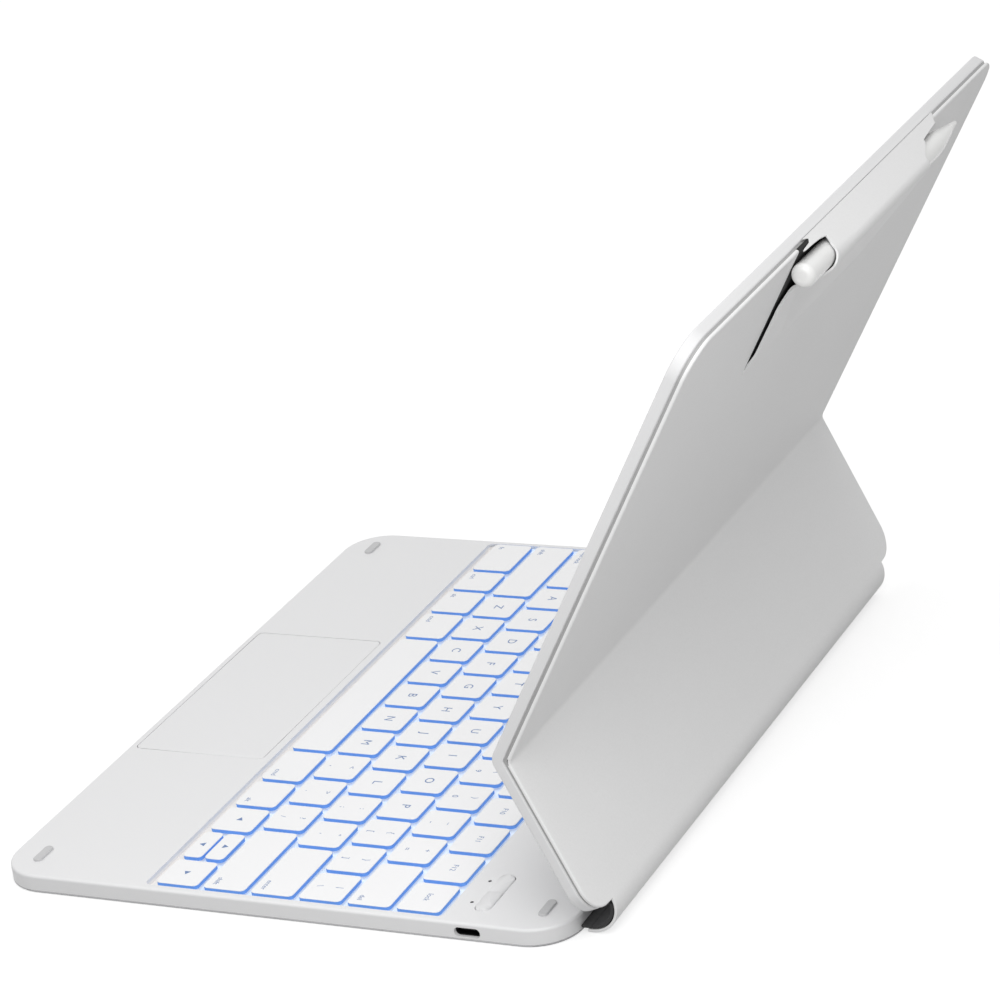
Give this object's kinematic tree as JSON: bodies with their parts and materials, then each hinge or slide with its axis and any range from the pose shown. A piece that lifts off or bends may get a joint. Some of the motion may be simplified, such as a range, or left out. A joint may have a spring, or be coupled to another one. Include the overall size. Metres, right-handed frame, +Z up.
{
  "type": "tablet keyboard case",
  "caption": "Slim keyboard base with backlit keys and a touchpad, a two-panel folding cover that stands a tablet up, and a stylus in a skin sleeve on its back.",
  "frame": {"origin": "centre of the keyboard base's underside", "axes": "+X to the typist's right, +Y to the rear, +Z up"},
  "size_m": [0.282, 0.2879, 0.2081],
  "materials": {
    "silver_shell": "fine satin, light grey",
    "bottom_shell": "fine satin, grey",
    "key_white": "smooth matt, white",
    "well_glow": "blue lit tray",
    "touchpad_surface": "fine satin",
    "button_grey": "satin",
    "bumper_rubber": "matt",
    "dome_rubber": "matt, milky",
    "link_plastic": "moulded",
    "clear_film": "film",
    "light_guide": "clear sheet",
    "steel": "satin",
    "circuit_board": "lacquered",
    "battery_wrap": "foil pouch",
    "magnet": "plated",
    "lamp_dark": "smoked",
    "cover_skin": "fine grain, grey",
    "cover_lining": "brushed microfibre",
    "panel_board": "fibre board",
    "stylus_white": "smooth",
    "nib_white": "smooth"
  },
  "bodies": {
    "keyboard_base": {"deck_cover": "silver_shell", "bottom_cover": "bottom_shell", "key_well_tray": "well_glow", "rubber_domes": "dome_rubber", "scissor_links": "link_plastic", "switch_membrane": "clear_film", "keyboard_support_plate": "steel", "backlight_sheet": "light_guide", "touchpad_channel": "steel", "tact_switches": "lamp_dark", "main_board": "circuit_board", "usb_c_socket": "steel", "battery_left": "battery_wrap", "battery_right": "battery_wrap", "closing_magnets": "magnet", "deck_bumpers": "bumper_rubber", "indicator_lights": "lamp_dark", "hinge_base_leaves": "steel", "hinge_screws": "steel", "spine_lining": "cover_lining"},
    "touchpad": {"touchpad_plate": "touchpad_surface", "touchpad_board": "circuit_board"},
    "left_button": {"button_left": "button_grey"},
    "right_button": {"button_right": "button_grey"},
    "lower_cover": {"lower_panel_skin": "cover_skin", "lower_panel_board": "panel_board", "lower_panel_lining": "cover_lining", "spine_skin": "cover_skin", "hinge_cover_leaves": "steel", "hinge_pins": "steel", "crease_bead": "cover_skin"},
    "upper_cover": {"upper_panel_skin": "cover_skin", "upper_panel_board": "panel_board", "upper_panel_lining": "cover_lining", "tablet_magnets": "magnet", "stylus_sleeve": "cover_skin"},
    "stylus": {"stylus_barrel": "stylus_white", "stylus_nib": "nib_white"},
    "key_fn_body": {"key_fn": "key_white"},
    "key_control_body": {"key_control": "key_white"},
    "key_alt_left_body": {"key_alt_left": "key_white"},
    "key_meta_left_body": {"key_meta_left": "key_white"},
    "key_space_body": {"key_space": "key_white"},
    "key_meta_right_body": {"key_meta_right": "key_white"},
    "key_alt_right_body": {"key_alt_right": "key_white"},
    "key_arrow_left_body": {"key_arrow_left": "key_white"},
    "key_arrow_down_body": {"key_arrow_down": "key_white"},
    "key_arrow_up_body": {"key_arrow_up": "key_white"},
    "key_arrow_right_body": {"key_arrow_right": "key_white"},
    "key_shift_left_body": {"key_shift_left": "key_white"},
    "keys_bottom_letters_body": {"keys_bottom_letters": "key_white"},
    "key_shift_right_body": {"key_shift_right": "key_white"},
    "key_caps_lock_body": {"key_caps_lock": "key_white"},
    "keys_home_letters_body": {"keys_home_letters": "key_white"},
    "key_return_body": {"key_return": "key_white"},
    "key_tab_body": {"key_tab": "key_white"},
    "keys_top_letters_body": {"keys_top_letters": "key_white"},
    "keys_number_row_body": {"keys_number_row": "key_white"},
    "key_delete_body": {"key_delete": "key_white"},
    "keys_function_row_body": {"keys_function_row": "key_white"}
  },
  "joints": [
    {"name": "cover_hinge", "type": "hinge", "parent": "keyboard_base", "child": "lower_cover", "pos_m": [0, 0.1099, 0.0099], "axis": [1, 0, 0], "range_deg": [0, 66.5]},
    {"name": "crease_fold", "type": "hinge", "parent": "lower_cover", "child": "upper_cover", "pos_m": [0, 0.09504, 0.06614], "axis": [1, 0, 0], "range_deg": [0, 53.2]},
    {"name": "stylus_slide", "type": "slide", "parent": "upper_cover", "child": "stylus", "axis": [1, 0, 0], "range_m": [0, 0.14]},
    {"name": "touchpad_click", "type": "slide", "parent": "keyboard_base", "child": "touchpad", "axis": [0, 0, -1], "range_m": [0, 0.00025], "stiffness_N_per_m": 2400, "springref_m": -0.00025},
    {"name": "left_button_press", "type": "slide", "parent": "keyboard_base", "child": "left_button", "axis": [0, 0, -1], "range_m": [0, 0.0004], "stiffness_N_per_m": 1500, "springref_m": -0.0003},
    {"name": "right_button_press", "type": "slide", "parent": "keyboard_base", "child": "right_button", "axis": [0, 0, -1], "range_m": [0, 0.0004], "stiffness_N_per_m": 1500, "springref_m": -0.0003},
    {"name": "key_fn_press", "type": "slide", "parent": "keyboard_base", "child": "key_fn_body", "axis": [0, 0, -1], "range_m": [0, 0.001], "stiffness_N_per_m": 600, "springref_m": -0.0005},
    {"name": "key_control_press", "type": "slide", "parent": "keyboard_base", "child": "key_control_body", "axis": [0, 0, -1], "range_m": [0, 0.001], "stiffness_N_per_m": 600, "springref_m": -0.0005},
    {"name": "key_alt_left_press", "type": "slide", "parent": "keyboard_base", "child": "key_alt_left_body", "axis": [0, 0, -1], "range_m": [0, 0.001], "stiffness_N_per_m": 600, "springref_m": -0.0005},
    {"name": "key_meta_left_press", "type": "slide", "parent": "keyboard_base", "child": "key_meta_left_body", "axis": [0, 0, -1], "range_m": [0, 0.001], "stiffness_N_per_m": 600, "springref_m": -0.0005},
    {"name": "key_space_press", "type": "slide", "parent": "keyboard_base", "child": "key_space_body", "axis": [0, 0, -1], "range_m": [0, 0.001], "stiffness_N_per_m": 600, "springref_m": -0.0005},
    {"name": "key_meta_right_press", "type": "slide", "parent": "keyboard_base", "child": "key_meta_right_body", "axis": [0, 0, -1], "range_m": [0, 0.001], "stiffness_N_per_m": 600, "springref_m": -0.0005},
    {"name": "key_alt_right_press", "type": "slide", "parent": "keyboard_base", "child": "key_alt_right_body", "axis": [0, 0, -1], "range_m": [0, 0.001], "stiffness_N_per_m": 600, "springref_m": -0.0005},
    {"name": "key_arrow_left_press", "type": "slide", "parent": "keyboard_base", "child": "key_arrow_left_body", "axis": [0, 0, -1], "range_m": [0, 0.001], "stiffness_N_per_m": 600, "springref_m": -0.0005},
    {"name": "key_arrow_down_press", "type": "slide", "parent": "keyboard_base", "child": "key_arrow_down_body", "axis": [0, 0, -1], "range_m": [0, 0.001], "stiffness_N_per_m": 600, "springref_m": -0.0005},
    {"name": "key_arrow_up_press", "type": "slide", "parent": "keyboard_base", "child": "key_arrow_up_body", "axis": [0, 0, -1], "range_m": [0, 0.001], "stiffness_N_per_m": 600, "springref_m": -0.0005},
    {"name": "key_arrow_right_press", "type": "slide", "parent": "keyboard_base", "child": "key_arrow_right_body", "axis": [0, 0, -1], "range_m": [0, 0.001], "stiffness_N_per_m": 600, "springref_m": -0.0005},
    {"name": "key_shift_left_press", "type": "slide", "parent": "keyboard_base", "child": "key_shift_left_body", "axis": [0, 0, -1], "range_m": [0, 0.001], "stiffness_N_per_m": 600, "springref_m": -0.0005},
    {"name": "keys_bottom_letters_press", "type": "slide", "parent": "keyboard_base", "child": "keys_bottom_letters_body", "axis": [0, 0, -1], "range_m": [0, 0.001], "stiffness_N_per_m": 600, "springref_m": -0.0005},
    {"name": "key_shift_right_press", "type": "slide", "parent": "keyboard_base", "child": "key_shift_right_body", "axis": [0, 0, -1], "range_m": [0, 0.001], "stiffness_N_per_m": 600, "springref_m": -0.0005},
    {"name": "key_caps_lock_press", "type": "slide", "parent": "keyboard_base", "child": "key_caps_lock_body", "axis": [0, 0, -1], "range_m": [0, 0.001], "stiffness_N_per_m": 600, "springref_m": -0.0005},
    {"name": "keys_home_letters_press", "type": "slide", "parent": "keyboard_base", "child": "keys_home_letters_body", "axis": [0, 0, -1], "range_m": [0, 0.001], "stiffness_N_per_m": 600, "springref_m": -0.0005},
    {"name": "key_return_press", "type": "slide", "parent": "keyboard_base", "child": "key_return_body", "axis": [0, 0, -1], "range_m": [0, 0.001], "stiffness_N_per_m": 600, "springref_m": -0.0005},
    {"name": "key_tab_press", "type": "slide", "parent": "keyboard_base", "child": "key_tab_body", "axis": [0, 0, -1], "range_m": [0, 0.001], "stiffness_N_per_m": 600, "springref_m": -0.0005},
    {"name": "keys_top_letters_press", "type": "slide", "parent": "keyboard_base", "child": "keys_top_letters_body", "axis": [0, 0, -1], "range_m": [0, 0.001], "stiffness_N_per_m": 600, "springref_m": -0.0005},
    {"name": "keys_number_row_press", "type": "slide", "parent": "keyboard_base", "child": "keys_number_row_body", "axis": [0, 0, -1], "range_m": [0, 0.001], "stiffness_N_per_m": 600, "springref_m": -0.0005},
    {"name": "key_delete_press", "type": "slide", "parent": "keyboard_base", "child": "key_delete_body", "axis": [0, 0, -1], "range_m": [0, 0.001], "stiffness_N_per_m": 600, "springref_m": -0.0005},
    {"name": "keys_function_row_press", "type": "slide", "parent": "keyboard_base", "child": "keys_function_row_body", "axis": [0, 0, -1], "range_m": [0, 0.001], "stiffness_N_per_m": 600, "springref_m": -0.0005}
  ]
}
